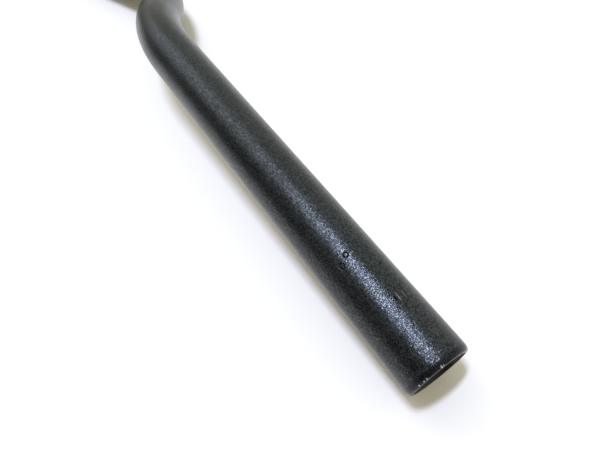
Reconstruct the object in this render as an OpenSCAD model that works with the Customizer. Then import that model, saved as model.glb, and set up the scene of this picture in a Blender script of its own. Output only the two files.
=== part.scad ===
// Riser handlebar: one bent, butted tube, lying on its clamp section and its two grip ends.
// Millimetres. X along the clamp axis, Z up from the floor, origin at the middle of the clamp axis.

/* [Overall] */
// distance between the middles of the two open ends
bar_w = 720; // [600:10:800]
// height of the corner under each grip above the clamp axis, as ridden
rise = 38; // [28:1:50]
// slope of the rising stretches, in degrees
rise_deg = 35; // [28:1:42]
// sweep of the grips back towards the rider, in degrees
back_deg = 9; // [5:0.5:12]
// sweep of the grips upwards, in degrees
up_deg = 5; // [1:0.5:8]
// radius of the tube's centreline in all four bends, if the rise leaves room
bend_r = 93; // [60:1:110]

/* [Clamp section] */
// diameter where the stem clamps
clamp_d = 31.8; // [28:0.1:35]
// length of the straight section for the stem
clamp_l = 64; // [50:1:90]
// length of each cone from the clamp section to the slim tube
taper_l = 44; // [30:1:60]
// straight slim tube between each cone and its first bend
run_l = 4; // [2:0.5:10]
// wall thickness in the clamp section
clamp_wall = 2.6; // [2.4:0.1:3.2]

/* [Slim tube] */
// diameter of the rises, the outer bends and the grips
grip_d = 22.2; // [21.8:0.1:22.8]
// wall thickness in the bends, the rises and the grips
slim_wall = 1.7; // [1.4:0.1:2.4]
// how much the wall thins on each face where the tube is bent
bend_thin = 0.02; // [0.01:0.01:0.03]

/* [End lip] */
// rounding round the outside of each open end
lip_r = 1.1; // [0.6:0.1:1.3]

/* [Finish] */
// colour of the paint
paint = "#1B1B1E";

/* [Hidden] */
$fn = 96;
// how far each straight stretch reaches into the bend beside it
lap = 0.5;
clamp_r = clamp_d / 2;
grip_r = grip_d / 2;
clamp_bore = clamp_r - clamp_wall;
slim_bore = grip_r - slim_wall;

// the grip's direction as ridden, and the plane and angle of the bend before it
grip_dir = [cos(back_deg) * cos(up_deg), -sin(back_deg) * cos(up_deg), sin(up_deg)];
rise_dir = [cos(rise_deg), 0, sin(rise_deg)];
outer_deg = acos(grip_dir * rise_dir);
rise_l = rise / sin(rise_deg);
corner_tans = tan(rise_deg / 2) + tan(outer_deg / 2);
real_bend_r = min(bend_r, 0.94 * rise_l / corner_tans);
inner_t = real_bend_r * tan(rise_deg / 2);
outer_t = real_bend_r * tan(outer_deg / 2);
straight_l = rise_l - inner_t - outer_t;

// from the middle: clamp section, cone, short run, then the two corners
bend_x = clamp_l / 2 + taper_l + run_l;
corner_x = bend_x + inner_t;
outer_corner = [corner_x + rise / tan(rise_deg), 0, rise];
corner_to_end = (bar_w / 2 - outer_corner[0]) / grip_dir[0];
grip_l = corner_to_end - outer_t;
tip = outer_corner + corner_to_end * grip_dir;
ring = tip - lip_r * grip_dir;

// the outer bend turns in the plane of the rise and the grip
bend_side = grip_dir - (grip_dir * rise_dir) * rise_dir;
twist_deg = atan2(-bend_side[1], bend_side * [-sin(rise_deg), 0, cos(rise_deg)]);

// tilt about the clamp axis that sets both ends level with the clamp section on the floor
function tilted_z(v, a) = v[1] * sin(a) + v[2] * cos(a);
function end_low(a) = tilted_z(ring, a) - lip_r
    - (grip_r - lip_r) * sqrt(1 - pow(tilted_z(grip_dir, a), 2));
function solve_tilt(lo, hi, n) = n == 0 ? (lo + hi) / 2
    : end_low((lo + hi) / 2) > -clamp_r ? solve_tilt((lo + hi) / 2, hi, n - 1)
    : solve_tilt(lo, (lo + hi) / 2, n - 1);
tilt = solve_tilt(30, 100, 36);

// one bend of the tube: a ring section turned about a centre beside it
module bend(deg) {
    translate([0, real_bend_r, 0]) rotate([0, 0, -90]) rotate_extrude(angle = deg)
        translate([real_bend_r, 0]) difference() {
            circle(r = grip_r - bend_thin);
            circle(r = slim_bore + bend_thin);
        }
}

// carries its children to the far end of a bend
module after_bend(deg) {
    translate([real_bend_r * sin(deg), real_bend_r * (1 - cos(deg)), 0]) rotate([0, 0, deg]) children();
}

// half section of the clamp section and both cones, which reach just into the bends
module centre_section() {
    cone_x = clamp_l / 2 + taper_l;
    end_x = bend_x + lap;
    polygon([
        [clamp_bore, -clamp_l / 2], [slim_bore, -cone_x], [slim_bore, -end_x], [grip_r, -end_x],
        [grip_r, -cone_x], [clamp_r, -clamp_l / 2], [clamp_r, clamp_l / 2], [grip_r, cone_x],
        [grip_r, end_x], [slim_bore, end_x], [slim_bore, cone_x], [clamp_bore, clamp_l / 2]
    ]);
}

// half section of the straight stretch between the two bends of a side
module rise_section() {
    translate([slim_bore, -lap]) square([slim_wall, straight_l + 2 * lap]);
}

// half section of one grip, from the bend to the rounded lip
module grip_section() {
    difference() {
        translate([slim_bore, -lap]) square([slim_wall, grip_l + lap]);
        translate([grip_r - lip_r, grip_l - lip_r]) difference() {
            square(lip_r + 1);
            circle(r = lip_r);
        }
    }
}

module along_x() {
    rotate([0, 90, 0]) rotate_extrude() children();
}

// the right-hand arm, each stretch set on the end of the one before
module arm() {
    translate([bend_x, 0, 0]) rotate([90, 0, 0]) {
        bend(rise_deg);
        after_bend(rise_deg) {
            along_x() rise_section();
            translate([straight_l, 0, 0]) rotate([twist_deg, 0, 0]) {
                bend(outer_deg);
                after_bend(outer_deg) along_x() grip_section();
            }
        }
    }
}

module handlebar() {
    color(paint) rotate([tilt, 0, 0]) {
        along_x() centre_section();
        arm();
        mirror([1, 0, 0]) arm();
    }
}

handlebar();
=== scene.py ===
import math

import bpy
from mathutils import Matrix, Vector


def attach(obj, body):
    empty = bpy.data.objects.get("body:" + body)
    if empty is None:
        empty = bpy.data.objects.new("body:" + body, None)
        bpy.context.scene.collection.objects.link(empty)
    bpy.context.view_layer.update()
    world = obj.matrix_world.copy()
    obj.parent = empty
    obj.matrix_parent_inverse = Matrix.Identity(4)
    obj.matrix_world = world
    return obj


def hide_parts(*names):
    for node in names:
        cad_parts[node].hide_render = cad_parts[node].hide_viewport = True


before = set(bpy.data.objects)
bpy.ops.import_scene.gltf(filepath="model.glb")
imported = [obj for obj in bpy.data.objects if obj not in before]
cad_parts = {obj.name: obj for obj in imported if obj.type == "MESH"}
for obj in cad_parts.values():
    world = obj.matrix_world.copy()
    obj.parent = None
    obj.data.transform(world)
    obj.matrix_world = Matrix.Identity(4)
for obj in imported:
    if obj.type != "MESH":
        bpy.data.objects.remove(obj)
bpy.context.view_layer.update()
MM = 0.001
white = (1.0, 1.0, 1.0, 1.0)


def srgb(hexColour):
    # sRGB hex to the linear colour that Blender's sockets take
    parts = [int(hexColour[i:i + 2], 16) / 255 for i in (1, 3, 5)]
    return tuple(c / 12.92 if c <= 0.04045 else ((c + 0.055) / 1.055) ** 2.4 for c in parts) + (1.0,)


def addNode(tree, kind, inputs=None, **settings):
    # one node with its settings; an input is linked where it is given another node's output
    node = tree.nodes.new(kind)
    for name, value in settings.items():
        setattr(node, name, value)
    for key, value in (inputs or {}).items():
        if isinstance(value, bpy.types.NodeSocket):
            tree.links.new(value, node.inputs[key])
        else:
            node.inputs[key].default_value = value
    return node


def mathNode(tree, operation, a, b=None, clamp=False):
    inputs = {0: a} if b is None else {0: a, 1: b}
    return addNode(tree, "ShaderNodeMath", inputs, operation=operation, use_clamp=clamp).outputs[0]


def vectorNode(tree, operation, inputs):
    return addNode(tree, "ShaderNodeVectorMath", inputs, operation=operation).outputs["Vector"]


def rangeNode(tree, value, low, high, outLow=0.0, outHigh=1.0, kind="SMOOTHSTEP"):
    inputs = {"Value": value, "From Min": low, "From Max": high, "To Min": outLow, "To Max": outHigh}
    return addNode(tree, "ShaderNodeMapRange", inputs, interpolation_type=kind).outputs["Result"]


def slide(tree, factor, atZero, atOne):
    # a straight slide from one number to another as factor goes from 0 to 1
    return rangeNode(tree, factor, 0, 1, atZero, atOne, "LINEAR")


def mixColour(tree, factor, a, b):
    return addNode(tree, "ShaderNodeMix", {0: factor, 6: a, 7: b}, data_type="RGBA").outputs[2]


def strongest(tree, masks):
    # the highest of several masks at each point
    most = masks[0]
    for mask in masks[1:]:
        most = mathNode(tree, "MAXIMUM", most, mask)
    return most


def emptyTree(holder):
    # switches a material or a world over to nodes and clears the ones it comes with
    holder.use_nodes = True
    holder.node_tree.nodes.clear()
    return holder.node_tree


# the tube: lengths in millimetres, angles in degrees. The clamp section and the grips are given by
# their radius, mouth is the edge break round the bore, shoulder rounds the corners of the cones, and
# the last two rows say how finely the tube is cut and where the tilt it rests at is looked for
bar = {
    "width": 720, "rise": 38, "riseDeg": 35, "backDeg": 9, "upDeg": 5, "bendRadius": 93,
    "clampRadius": 15.9, "clampHalf": 32, "taper": 44, "run": 4, "clampWall": 2.6,
    "gripRadius": 11.1, "slimWall": 1.7, "lip": 1.1, "lipLength": 2.2, "mouth": 0.12, "shoulder": 5.0,
    "around": 112, "middleStep": 2.0, "bendStep": 1.5, "straightStep": 3.0, "lipSteps": 8, "weld": 0.001,
    "tiltSpan": (30, 100), "tiltHalvings": 40,
}


def barNumbers(b):
    # the corner and bend lengths that the tube's driving sizes give, and the tilt it rests at
    back, up, rise = (math.radians(b[k]) for k in ("backDeg", "upDeg", "riseDeg"))
    gripDir = Vector((math.cos(back) * math.cos(up), -math.sin(back) * math.cos(up), math.sin(up)))
    riseDir = Vector((math.cos(rise), 0, math.sin(rise)))
    outer = math.acos(gripDir.dot(riseDir))
    innerTan = b["bendRadius"] * math.tan(rise / 2)
    outerTan = b["bendRadius"] * math.tan(outer / 2)
    straight = b["rise"] / math.sin(rise) - innerTan - outerTan
    bendX = b["clampHalf"] + b["taper"] + b["run"]
    corner = Vector((bendX + innerTan + b["rise"] / math.tan(rise), 0, b["rise"]))
    toEnd = (b["width"] / 2 - corner.x) / gripDir.x
    side = gripDir - gripDir.dot(riseDir) * riseDir
    twist = math.atan2(-side.y, side.dot(Vector((-math.sin(rise), 0, math.cos(rise)))))
    ring = corner + (toEnd - b["lip"]) * gripDir

    def endLow(tilt):
        # height of the lowest point of the open end's rim at this tilt
        slope = gripDir.y * math.sin(tilt) + gripDir.z * math.cos(tilt)
        height = ring.y * math.sin(tilt) + ring.z * math.cos(tilt)
        return height - b["lip"] - (b["gripRadius"] - b["lip"]) * math.sqrt(1 - slope ** 2)

    low, high = (math.radians(angle) for angle in b["tiltSpan"])
    for _ in range(b["tiltHalvings"]):
        middle = (low + high) / 2
        if endLow(middle) > -b["clampRadius"]:
            low = middle
        else:
            high = middle
    return {"rise": rise, "outer": outer, "straight": straight, "bendX": bendX,
            "grip": toEnd - outerTan, "twist": twist, "tilt": (low + high) / 2}


def softCorner(x, half):
    # the hinge max(x, 0) with its corner rounded over plus and minus half
    if x <= -half:
        return 0.0
    if x >= half:
        return x
    return (x + half) ** 2 / (4 * half)


def outerRadius(s, b):
    # radius of the skin at s along the bar, with each cone run softly into the straight stretches
    fall = (b["clampRadius"] - b["gripRadius"]) / b["taper"]
    start, end = b["clampHalf"], b["clampHalf"] + b["taper"]
    along = softCorner(s - start, b["shoulder"]) - softCorner(s - end, b["shoulder"])
    return b["clampRadius"] - fall * along


def boreRadius(s, b):
    # radius of the bore at s along the bar: the wall changes inside the cones
    clampBore, slimBore = b["clampRadius"] - b["clampWall"], b["gripRadius"] - b["slimWall"]
    cone = min(max((s - b["clampHalf"]) / b["taper"], 0), 1)
    return clampBore + (slimBore - clampBore) * cone


def halfStations(b, n):
    # frames along the right half, from the middle to the open end: (distance, matrix)
    tiltM = Matrix.Rotation(n["tilt"], 4, "X")
    base = tiltM @ Matrix.Translation((n["bendX"], 0, 0)) @ Matrix.Rotation(math.pi / 2, 4, "X")
    unroll = Matrix.Rotation(-math.pi / 2, 4, "X")
    radius = b["bendRadius"]
    out = []

    def steps(length, step):
        count = max(int(math.ceil(length / step)), 1)
        return [length * i / count for i in range(count)]

    def roundBend(a):
        # from the start of a bend to the point a radians round it
        return Matrix.Translation((radius * math.sin(a), radius * (1 - math.cos(a)), 0))

    for x in steps(n["bendX"], b["middleStep"]):
        out.append((x, tiltM @ Matrix.Translation((x, 0, 0))))
    done = n["bendX"]
    bends = ((n["rise"], n["straight"], 0.0), (n["outer"], n["grip"], n["twist"]))
    for angle, after, twist in bends:
        base = base @ Matrix.Rotation(twist, 4, "X")
        unroll = Matrix.Rotation(-twist, 4, "X") @ unroll if twist else unroll
        for arc in steps(radius * angle, b["bendStep"]):
            a = arc / radius
            out.append((done + arc, base @ roundBend(a) @ Matrix.Rotation(a, 4, "Z") @ unroll))
        base = base @ roundBend(angle) @ Matrix.Rotation(angle, 4, "Z")
        done += radius * angle
        # the grip, after the twisted bend, stops where its rounded lip begins
        stretch = after - (b["lipLength"] if twist else 0)
        for x in steps(stretch, b["straightStep"]):
            out.append((done + x, base @ Matrix.Translation((x, 0, 0)) @ unroll))
        base = base @ Matrix.Translation((after, 0, 0))
        done += after
    return out, base @ unroll, done


def addStations(b):
    # one vertex for each ring, in a closed round: out along the right half, back through its bore,
    # out through the left bore and home. Each keeps its radius and the two directions of its plane
    stations, tipFrame, total = halfStations(b, barNumbers(b))
    gripBore = b["gripRadius"] - b["slimWall"]
    rings = [(m, outerRadius(s, b), s, 0.0) for s, m in stations]
    for i in range(b["lipSteps"] + 1):
        a = math.pi / 2 * i / b["lipSteps"]
        back = b["lipLength"] * (1 - math.sin(a))
        rings.append((tipFrame @ Matrix.Translation((-back, 0, 0)),
                      b["gripRadius"] - b["lip"] * (1 - math.cos(a)), total - back, 0.0))
    rings.append((tipFrame, gripBore + b["mouth"], total, 0.0))
    rings.append((tipFrame @ Matrix.Translation((-b["mouth"], 0, 0)), gripBore, total - b["mouth"], 1.0))
    rings += [(m, boreRadius(s, b), s, 1.0) for s, m in reversed(stations) if s < total - b["lipLength"]]
    closed = [ring + (1,) for ring in rings] + [ring + (-1,) for ring in rings[-2:0:-1]]

    mesh = bpy.data.meshes.new("barStations")
    flip = {1: Matrix.Identity(3), -1: Matrix.Scale(-1, 3, (1, 0, 0))}
    mesh.from_pydata([flip[side] @ m.translation * MM for m, r, s, isBore, side in closed], [], [])
    values = {
        "ringRadius": [r * MM for m, r, s, isBore, side in closed],
        "alongBar": [s * side for m, r, s, isBore, side in closed],
        "fromEnd": [total - s for m, r, s, isBore, side in closed],
        "inBore": [isBore for m, r, s, isBore, side in closed],
    }
    for name, numbers in values.items():
        mesh.attributes.new(name, "FLOAT", "POINT").data.foreach_set("value", numbers)
    for name, column in (("sideA", 1), ("sideB", 2)):
        directions = [flip[side] @ m.to_3x3().col[column] for m, r, s, isBore, side in closed]
        flat = [number for direction in directions for number in direction]
        mesh.attributes.new(name, "FLOAT_VECTOR", "POINT").data.foreach_set("vector", flat)
    item = bpy.data.objects.new("barStations", mesh)
    bpy.context.scene.collection.objects.link(item)
    return item, total


def makeSweepTree():
    # a grid of rings by steps round, each vertex set on its ring, then closed both ways
    tree = bpy.data.node_groups.new("sweepRings", "GeometryNodeTree")
    tree.is_modifier = True
    sockets = (("Stations", "NodeSocketGeometry"), ("Steps round", "NodeSocketInt"),
               ("Weld distance", "NodeSocketFloat"), ("Outside", "NodeSocketMaterial"),
               ("Bore", "NodeSocketMaterial"))
    for name, kind in sockets:
        tree.interface.new_socket(name=name, in_out="INPUT", socket_type=kind)
    tree.interface.new_socket(name="Tube", in_out="OUTPUT", socket_type="NodeSocketGeometry")
    given = addNode(tree, "NodeGroupInput").outputs

    rings = addNode(tree, "GeometryNodeAttributeDomainSize", {"Geometry": given["Stations"]},
                    component="MESH").outputs["Point Count"]
    columns = mathNode(tree, "ADD", given["Steps round"], 1)
    grid = addNode(tree, "GeometryNodeMeshGrid",
                   {"Vertices X": mathNode(tree, "ADD", rings, 1), "Vertices Y": columns})
    # half a step is added before rounding down, so that no row falls short of its number
    index = addNode(tree, "GeometryNodeInputIndex").outputs["Index"]
    row = mathNode(tree, "FLOOR", mathNode(tree, "DIVIDE", mathNode(tree, "ADD", index, 0.5), columns))
    ring = mathNode(tree, "MODULO", row, rings)
    column = mathNode(tree, "SUBTRACT", index, mathNode(tree, "MULTIPLY", row, columns))
    turn = mathNode(tree, "DIVIDE", column, given["Steps round"])
    angle = mathNode(tree, "MULTIPLY", turn, 2 * math.pi)

    def attribute(name, kind="FLOAT"):
        return addNode(tree, "GeometryNodeInputNamedAttribute", {"Name": name},
                       data_type=kind).outputs["Attribute"]

    def atRing(field, kind="FLOAT"):
        # what the station of this vertex's ring holds
        return addNode(tree, "GeometryNodeSampleIndex",
                       {"Geometry": given["Stations"], "Value": field, "Index": ring},
                       data_type=kind).outputs["Value"]

    radius = atRing(attribute("ringRadius"))
    across = []
    for name, wave in (("sideA", "COSINE"), ("sideB", "SINE")):
        direction = atRing(attribute(name, "FLOAT_VECTOR"), "FLOAT_VECTOR")
        reach = mathNode(tree, "MULTIPLY", mathNode(tree, wave, angle), radius)
        across.append(vectorNode(tree, "SCALE", {0: direction, "Scale": reach}))
    offset = vectorNode(tree, "ADD", {0: across[0], 1: across[1]})
    centre = atRing(addNode(tree, "GeometryNodeInputPosition").outputs["Position"], "FLOAT_VECTOR")
    place = vectorNode(tree, "ADD", {0: centre, 1: offset})
    unrolled = addNode(tree, "ShaderNodeCombineXYZ", {"X": attribute("turn"), "Y": attribute("alongBar")})
    # a face is the bore's where the average of its corners is nearly 1, so all of them are
    boreFaces = mathNode(tree, "GREATER_THAN", attribute("inBore"), 0.99)

    kept = {name: atRing(attribute(name)) for name in ("alongBar", "fromEnd", "inBore")}
    onPoints = {"data_type": "FLOAT", "domain": "POINT"}
    chain = [("StoreNamedAttribute", {"Name": name, "Value": value}, onPoints)
             for name, value in {"turn": turn, **kept}.items()]
    chain += [
        ("SetPosition", {"Position": place}, {}),
        ("StoreNamedAttribute", {"Name": "along", "Value": unrolled.outputs["Vector"]},
         {"data_type": "FLOAT2", "domain": "CORNER"}),
        ("MergeByDistance", {"Distance": given["Weld distance"]}, {}),
        ("FlipFaces", {}, {}),
        ("SetShadeSmooth", {}, {}),
        ("RealizeInstances", {}, {}),
        ("SetMaterial", {"Material": given["Outside"]}, {}),
        ("SetMaterial", {"Material": given["Bore"], "Selection": boreFaces}, {}),
    ]
    shape = grid.outputs["Mesh"]
    for kind, inputs, settings in chain:
        shape = addNode(tree, "GeometryNode" + kind, {0: shape, **inputs}, **settings).outputs[0]
    addNode(tree, "NodeGroupOutput", {"Tube": shape})
    return tree


def buildTube(b, outside, bore):
    # the stations swept by the tree, then kept as a plain mesh
    stations, total = addStations(b)
    tree = makeSweepTree()
    modifier = stations.modifiers.new("sweep", "NODES")
    modifier.node_group = tree
    given = {"Steps round": b["around"], "Weld distance": b["weld"] * MM, "Outside": outside, "Bore": bore}
    for socket in tree.interface.items_tree:
        if socket.in_out == "INPUT" and socket.name in given:
            modifier[socket.identifier] = given[socket.name]
    evaluated = stations.evaluated_get(bpy.context.evaluated_depsgraph_get())
    mesh = bpy.data.meshes.new_from_object(evaluated)
    mesh.name = "barTube"
    mesh.materials.pop(index=0)  # the grid comes with an empty slot ahead of the two materials
    stationMesh = stations.data
    bpy.data.objects.remove(stations)
    bpy.data.meshes.remove(stationMesh)
    tube = bpy.data.objects.new("barTube", mesh)
    bpy.context.scene.collection.objects.link(tube)
    return tube, total


# the coat: names ending in Mm and heights are in millimetres, spans run from nothing to full
paintLook = {
    "base": "#0A0B0B", "cloudColour": "#131415", "cloudMm": 22.0, "cloudSpan": (0.35, 0.65),
    "roughness": 0.23, "cloudRoughness": 0.03, "gloss": 0.24,
    "grainMm": 0.42, "grainBump": 0.52, "grainHeight": 0.2,
    "peelMm": 1.6, "peelBump": 0.05, "peelHeight": 0.3,
    "fleckMm": 0.26, "fleckShare": 0.6, "fleckColour": "#5D6260",
    # on the rounded lip the flecks are thinned out, a painted shade for its dark band, and the coat is
    # smoother
    "lipMm": (2.6, 1.6), "lipShadeFleck": 0.15, "lipSmoother": 0.06,
    "wearMm": (1.0, 0.1), "crumbSpan": (0.66, 0.74), "wearShare": 0.35,
    "chipColour": "#C9CBCC", "chipMm": 0.35, "chipStretch": 1.4, "chipSoft": 0.3,
    "scuffColour": "#9A9EA4", "scuffStrength": 0.9, "scuffSoft": 0.5,
    # the pressed marks' near-black colour and thinned flecks below are painted shade
    "stampShadeColour": "#060607", "stampShadeFleck": 0.1, "stampRoughness": 0.7, "stampGloss": 0.05,
    "stampSoft": 0.2, "hollowSoft": 0.3, "dentBump": 0.4, "dentHeight": 0.08,
}
boreLook = {
    "metal": "#9C9EA0", "roughness": (0.34, 0.5), "lines": (140.0, 0.02, 1.0),
    "lineBump": 0.2, "lineHeight": 0.05, "noiseSpan": (0.3, 0.7),
    "overspray": "#242426", "sprayMm": (28, 6), "raggedMm": 8, "cloudMm": 6.0,
}
# light scuffs: distance from the end in mm, angle round the tube in degrees,
# half length along and half width round in mm, strength
scuffs = [
    (22.0, 9.7, 1.5, 0.12, 1.0), (21.9, 358.9, 1.2, 0.1, 0.8), (40.0, 53.4, 0.7, 0.06, 0.6),
    (38.9, 52.0, 0.8, 0.06, 0.6), (40.1, 347.1, 1.4, 0.06, 0.4), (56.1, 33.0, 1.2, 0.06, 0.35),
    (78.9, 36.0, 0.8, 0.06, 0.35), (40.1, 92.3, 1.2, 0.06, 0.3),
]
# plain cutting marks pressed into the coat: distance from the end in mm, angle round the tube,
# half length along and half width round in mm, share of it that is hollow
stamps = [(41.6, 30.6, 1.05, 1.0, 0.55), (39.5, 46.4, 1.2, 0.9, 0.62), (22.0, 15.2, 0.9, 0.3, 0.0)]
# chips at the bore's edge down to bare metal: angle round the tube, radius of the chip in mm
chips = [(28.5, 0.3), (24.6, 0.16), (56.5, 0.2), (62.5, 0.16), (73.5, 0.18), (121.0, 0.26),
         (170.0, 0.22), (232.0, 0.2), (305.0, 0.18)]


def millimetres(tree):
    place = addNode(tree, "ShaderNodeTexCoord").outputs["Object"]
    return vectorNode(tree, "SCALE", {0: place, "Scale": 1 / MM})


def makePaint(look):
    # satin black powder coat: baked polyester grains over an orange-peel skin
    material = bpy.data.materials.new("blackPowderCoat")
    tree = emptyTree(material)
    place = millimetres(tree)
    noises = (("grainMm", 2.0, 0.6), ("peelMm", 1.0, 0.5), ("cloudMm", 3.0, 0.55))
    fine, peel, broad = (addNode(tree, "ShaderNodeTexNoise", {
        "Vector": place, "Scale": 1 / look[size], "Detail": detail, "Roughness": roughness,
    }).outputs["Fac"] for size, detail, roughness in noises)
    cloud = rangeNode(tree, broad, *look["cloudSpan"])
    base = mixColour(tree, cloud, srgb(look["base"]), srgb(look["cloudColour"]))
    # each fleck is one cell, some brighter than others
    cells = addNode(tree, "ShaderNodeTexVoronoi", {"Vector": place, "Scale": 1 / look["fleckMm"]})
    cellValue = addNode(tree, "ShaderNodeSeparateColor", {0: cells.outputs["Color"]}).outputs[0]
    fleck = rangeNode(tree, cellValue, 1 - look["fleckShare"], 1.0, kind="LINEAR")
    uv = addNode(tree, "ShaderNodeUVMap", uv_map="along")
    split = addNode(tree, "ShaderNodeSeparateXYZ", {0: uv.outputs["UV"]})
    around = mathNode(tree, "MULTIPLY", split.outputs["X"], 2 * math.pi * bar["gripRadius"])
    gap = addNode(tree, "ShaderNodeAttribute", attribute_name="fromEnd").outputs["Fac"]
    rightSide = mathNode(tree, "GREATER_THAN", split.outputs["Y"], 0.0)

    def mark(distance, angle, halfAlong, halfAround, soft):
        # 1 inside an ellipse laid on the tube's skin, falling to 0 over soft
        offset = mathNode(tree, "SUBTRACT", around, angle * math.pi / 180 * bar["gripRadius"])
        x = mathNode(tree, "DIVIDE", offset, halfAround)
        y = mathNode(tree, "DIVIDE", mathNode(tree, "SUBTRACT", gap, distance), halfAlong)
        square = mathNode(tree, "ADD", mathNode(tree, "MULTIPLY", x, x), mathNode(tree, "MULTIPLY", y, y))
        return rangeNode(tree, square, 1 + soft, 1 - soft)

    def stampMark(distance, angle, halfAlong, halfAround, hollow):
        mask = mark(distance, angle, halfAlong, halfAround, look["stampSoft"])
        if not hollow:
            return mask
        hole = mark(distance, angle, halfAlong * hollow, halfAround * hollow, look["hollowSoft"])
        return mathNode(tree, "SUBTRACT", mask, hole, clamp=True)

    # the coat runs smooth over the rounded lip; there and in the pressed marks the flecks are thinned out,
    # painted shade that darkens both
    lipShadeAndSmooth = rangeNode(tree, gap, *look["lipMm"])
    stamp = mathNode(tree, "MULTIPLY", strongest(tree, [stampMark(*row) for row in stamps]), rightSide)
    fleck = mathNode(tree, "MULTIPLY", fleck, slide(tree, lipShadeAndSmooth, 1.0, look["lipShadeFleck"]))
    fleck = mathNode(tree, "MULTIPLY", fleck, slide(tree, stamp, 1.0, look["stampShadeFleck"]))
    base = mixColour(tree, fleck, base, srgb(look["fleckColour"]))
    uneven = slide(tree, cloud, -look["cloudRoughness"], look["cloudRoughness"])
    roughness = mathNode(tree, "ADD", uneven, look["roughness"])

    scuff = strongest(tree, [mathNode(tree, "MULTIPLY", mark(*row[:4], look["scuffSoft"]), row[4])
                             for row in scuffs])
    scuff = mathNode(tree, "MULTIPLY", scuff, rightSide)
    stretch, soft = look["chipStretch"], look["chipSoft"]
    chip = strongest(tree, [mark(look["chipMm"], angle, radius * stretch, radius, soft)
                            for angle, radius in chips])
    # wear along the lip: the coat is thin on the rounded edge and rubs through in crumbs
    lipBand = rangeNode(tree, gap, *look["wearMm"])
    crumbs = rangeNode(tree, fine, *look["crumbSpan"])
    worn = mathNode(tree, "MULTIPLY", mathNode(tree, "MULTIPLY", lipBand, crumbs), look["wearShare"])
    bare = mathNode(tree, "MAXIMUM", chip, worn, clamp=True)
    metal = mathNode(tree, "MAXIMUM", bare, fleck)

    scuffed = mathNode(tree, "MULTIPLY", scuff, look["scuffStrength"])
    base = mixColour(tree, scuffed, base, srgb(look["scuffColour"]))
    base = mixColour(tree, bare, base, srgb(look["chipColour"]))
    smoother = mathNode(tree, "MULTIPLY", lipShadeAndSmooth, look["lipSmoother"])
    roughness = mathNode(tree, "SUBTRACT", roughness, smoother)

    # a pressed mark turns its walls away from the lamp, so it mirrors little; its shade is painted in as a
    # near-black colour with few flecks, over a rougher, less glossy coat
    base = mixColour(tree, stamp, base, srgb(look["stampShadeColour"]))
    dull = mathNode(tree, "MULTIPLY", stamp, look["stampRoughness"])
    roughness = mathNode(tree, "MAXIMUM", roughness, dull)
    gloss = slide(tree, stamp, look["gloss"], look["stampGloss"])
    dent = mathNode(tree, "MAXIMUM", bare, stamp)

    grainBump = addNode(tree, "ShaderNodeBump", {
        "Height": fine, "Strength": look["grainBump"], "Distance": look["grainHeight"] * MM})
    peelBump = addNode(tree, "ShaderNodeBump", {
        "Height": peel, "Strength": look["peelBump"], "Distance": look["peelHeight"] * MM,
        "Normal": grainBump.outputs[0]})
    dentBump = addNode(tree, "ShaderNodeBump", {
        "Height": dent, "Strength": look["dentBump"], "Distance": look["dentHeight"] * MM,
        "Normal": peelBump.outputs[0]}, invert=True)
    shader = addNode(tree, "ShaderNodeBsdfPrincipled", {
        "Base Color": base, "Roughness": roughness, "Metallic": metal,
        "Specular IOR Level": gloss, "Normal": dentBump.outputs[0]})
    addNode(tree, "ShaderNodeOutputMaterial", {"Surface": shader.outputs[0]})
    return material


def makeBore(look):
    # drawn aluminium inside the tube, dulled by oxide, with paint overspray behind each mouth
    material = bpy.data.materials.new("drawnAluminiumBore")
    tree = emptyTree(material)
    uv = addNode(tree, "ShaderNodeUVMap", uv_map="along")
    lines = addNode(tree, "ShaderNodeMapping", {"Vector": uv.outputs["UV"], "Scale": look["lines"]})
    drawn = addNode(tree, "ShaderNodeTexNoise", {
        "Vector": lines.outputs[0], "Scale": 1.0, "Detail": 3.0}).outputs["Fac"]
    cloud = addNode(tree, "ShaderNodeTexNoise", {
        "Vector": millimetres(tree), "Scale": 1 / look["cloudMm"], "Detail": 4.0}).outputs["Fac"]
    gap = addNode(tree, "ShaderNodeAttribute", attribute_name="fromEnd").outputs["Fac"]
    shift = rangeNode(tree, cloud, *look["noiseSpan"], -look["raggedMm"], look["raggedMm"], "LINEAR")
    spray = rangeNode(tree, mathNode(tree, "ADD", gap, shift), *look["sprayMm"])
    base = mixColour(tree, spray, srgb(look["metal"]), srgb(look["overspray"]))
    metal = mathNode(tree, "SUBTRACT", 1.0, spray)
    roughness = rangeNode(tree, drawn, *look["noiseSpan"], *look["roughness"], "LINEAR")
    bump = addNode(tree, "ShaderNodeBump", {
        "Height": drawn, "Strength": look["lineBump"], "Distance": look["lineHeight"] * MM})
    shader = addNode(tree, "ShaderNodeBsdfPrincipled", {
        "Base Color": base, "Roughness": roughness, "Metallic": metal, "Normal": bump.outputs[0]})
    addNode(tree, "ShaderNodeOutputMaterial", {"Surface": shader.outputs[0]})
    return material


coat, insideMetal = makePaint(paintLook), makeBore(boreLook)
print("materials:", coat.name, "and", insideMetal.name)
tube, halfLength = buildTube(bar, coat, insideMetal)
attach(tube, "root")
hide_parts("handlebar")
print("tube:", len(tube.data.polygons), "quads, half length", round(halfLength, 2), "mm")

# floor sizes in metres, its height in millimetres; spans run from nothing to full
stageLook = {
    "floorZ": -15.9, "floorColour": "#F8F2E6", "floorSize": 6.0,
    "floorLift": 0.12, "liftColour": "#FFF4D6", "whiteSpan": (0.5, 1.6),
    "brightSide": "#EDF1E6", "brightLight": 0.8, "darkSide": "#F2E6C4", "darkLight": 0.035,
    "skyLean": 0.6, "skySpan": (-0.8, 1.2),
}
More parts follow.
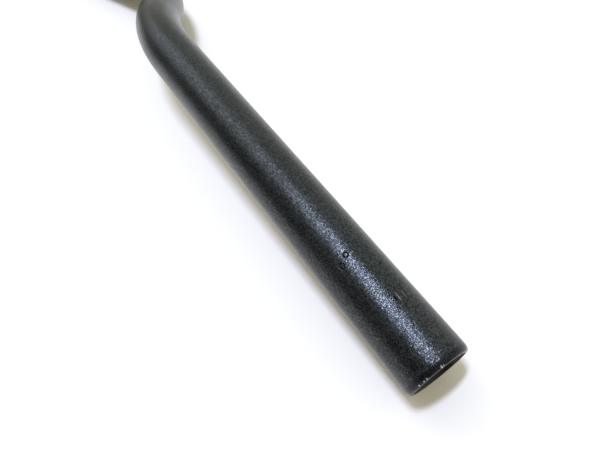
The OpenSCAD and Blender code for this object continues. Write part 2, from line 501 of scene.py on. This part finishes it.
# places in millimetres, clip distances in metres
camera = {
    "place": (377.98, -102.21, 129.74), "right": (0.6560, 0.7354, -0.1696),
    "up": (-0.5469, 0.6181, 0.5647), "focalPx": 454.44, "widthPx": 600, "sensorMm": 36,
    "nearest": 0.01, "farthest": 20,
}
lights = {
    "lamp": {"place": (130, -60, 1550), "target": (320, -50, 0), "power": 19.5,
             "size": (0.12, 0.36), "colour": "#CDD9FF"},
    "ceiling": {"place": (-900, -100, 1400), "target": (320, -50, 0), "power": 8.5,
                "size": (1.8, 1.0), "colour": "#E8EEFF"},
}


def seenDirectly(tree):
    # 1 for camera, glossy and transmission rays, 0 for the rays that light other things
    path = addNode(tree, "ShaderNodeLightPath").outputs
    return strongest(tree, [path["Is Camera Ray"], path["Is Glossy Ray"], path["Is Transmission Ray"]])


def makeFloor(look):
    # white vinyl floor, plain and matt
    h, z = look["floorSize"] / 2, look["floorZ"] * MM
    floorMesh = bpy.data.meshes.new("floor")
    floorMesh.from_pydata([(-h, -h, z), (h, -h, z), (h, h, z), (-h, h, z)], [], [(0, 1, 2, 3)])
    material = bpy.data.materials.new("whiteVinylFloor")
    tree = emptyTree(material)
    shader = addNode(tree, "ShaderNodeBsdfDiffuse", {"Color": srgb(look["floorColour"])})
    # it is lifted towards white where it is seen or mirrored, and the shadow stays;
    # far from the bar, past the lamp's reach, it goes over to plain white
    place = addNode(tree, "ShaderNodeTexCoord").outputs["Object"]
    distance = addNode(tree, "ShaderNodeVectorMath", {0: place}, operation="LENGTH").outputs["Value"]
    far = rangeNode(tree, distance, *look["whiteSpan"])
    strength = slide(tree, far, look["floorLift"], 1.0)
    lift = addNode(tree, "ShaderNodeEmission", {
        "Color": mixColour(tree, far, srgb(look["liftColour"]), white),
        "Strength": mathNode(tree, "MULTIPLY", seenDirectly(tree), strength)})
    both = addNode(tree, "ShaderNodeAddShader", {0: shader.outputs[0], 1: lift.outputs[0]})
    addNode(tree, "ShaderNodeOutputMaterial", {"Surface": both.outputs[0]})
    floorMesh.materials.append(material)
    floor = bpy.data.objects.new("floor", floorMesh)
    bpy.context.scene.collection.objects.link(floor)


def makeWorld(look):
    # a bright room overhead and towards +Y, dark near the horizon towards -Y; the camera sees white
    world = bpy.data.worlds.new("studio")
    bpy.context.scene.world = world
    tree = emptyTree(world)
    direction = addNode(tree, "ShaderNodeTexCoord").outputs["Generated"]
    split = addNode(tree, "ShaderNodeSeparateXYZ", {0: direction}).outputs
    height = mathNode(tree, "MULTIPLY", split["Z"], look["skyLean"])
    window = rangeNode(tree, mathNode(tree, "ADD", split["Y"], height), *look["skySpan"])
    ambient = addNode(tree, "ShaderNodeBackground", {
        "Color": mixColour(tree, window, srgb(look["darkSide"]), srgb(look["brightSide"])),
        "Strength": slide(tree, window, look["darkLight"], look["brightLight"])})
    plain = addNode(tree, "ShaderNodeBackground", {"Color": white, "Strength": 1.0})
    path = addNode(tree, "ShaderNodeLightPath")
    mix = addNode(tree, "ShaderNodeMixShader", {
        0: path.outputs["Is Camera Ray"], 1: ambient.outputs[0], 2: plain.outputs[0]})
    addNode(tree, "ShaderNodeOutputWorld", {"Surface": mix.outputs[0]})


def makeCamera(c):
    data = bpy.data.cameras.new("camera")
    data.sensor_width = c["sensorMm"]
    data.lens = c["sensorMm"] * c["focalPx"] / c["widthPx"]
    data.clip_start, data.clip_end = c["nearest"], c["farthest"]
    right, up = Vector(c["right"]).normalized(), Vector(c["up"])
    up = (up - up.dot(right) * right).normalized()
    turn = Matrix((right, up, right.cross(up))).transposed().to_4x4()
    item = bpy.data.objects.new("camera", data)
    item.matrix_world = Matrix.Translation(Vector(c["place"]) * MM) @ turn
    bpy.context.scene.collection.objects.link(item)
    bpy.context.scene.camera = item


def areaLight(name, look):
    data = bpy.data.lights.new(name, "AREA")
    data.shape = "RECTANGLE"
    data.size, data.size_y = look["size"]
    data.energy = look["power"]
    data.color = srgb(look["colour"])[:3]
    item = bpy.data.objects.new(name, data)
    item.location = Vector(look["place"]) * MM
    # aimed at the target with its long side kept in the plane of Y and Z
    back = (Vector(look["place"]) - Vector(look["target"])).normalized()
    side = Vector((0, 1, 0)).cross(back).normalized()
    item.rotation_euler = Matrix((side, back.cross(side), back)).transposed().to_euler()
    bpy.context.scene.collection.objects.link(item)


makeFloor(stageLook)
makeWorld(stageLook)
makeCamera(camera)
for name, look in lights.items():
    areaLight(name, look)
bpy.context.scene.view_settings.view_transform = "Standard"
print("stage: floor, world, camera and", len(lights), "lights")
